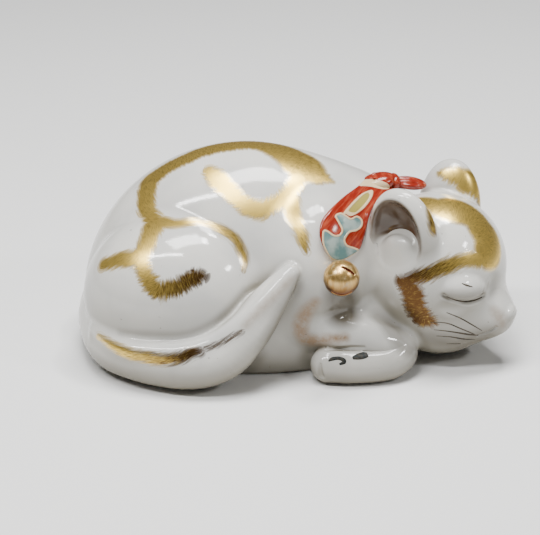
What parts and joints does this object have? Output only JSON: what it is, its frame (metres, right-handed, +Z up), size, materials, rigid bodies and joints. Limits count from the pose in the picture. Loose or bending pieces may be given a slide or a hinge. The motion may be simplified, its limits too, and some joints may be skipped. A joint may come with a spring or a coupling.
{
  "type": "ceramic cat figurine",
  "caption": "Hollow glazed ceramic figurine of a curled, sleeping cat with a gilt coat, a tied neckerchief and a round bell, closed underneath by a vented slab.",
  "frame": {"origin": "the middle of the figurine's footprint, on the surface that it rests on", "axes": "+X along the body from the rump to the head, +Y towards the cat's back, away from the tail and the face, +Z up"},
  "size_m": [0.1376, 0.0832, 0.0639],
  "materials": {
    "white_glaze": "glossy clear glaze over white porcelain, brushed gilt patches worn brown in places",
    "unglazed_clay": "matt fired clay, slightly gritty",
    "red_enamel": "glossy iron-red enamel with gilt and pale blue figures in cream outlines",
    "gilt": "burnished gilt over glaze, brush marks showing"
  },
  "bodies": {
    "root": {"body_shell": "white_glaze", "base_slab": "unglazed_clay", "head_shell": "white_glaze", "right_ear": "white_glaze", "left_ear": "white_glaze", "right_hind_leg": "white_glaze", "tail": "white_glaze", "right_foreleg": "white_glaze", "left_foreleg": "white_glaze", "neckerchief": "red_enamel", "bow_knot": "red_enamel", "bow_loop_near": "red_enamel", "bow_loop_far": "red_enamel", "bell": "gilt", "bell_stem": "white_glaze"}
  },
  "joints": []
}
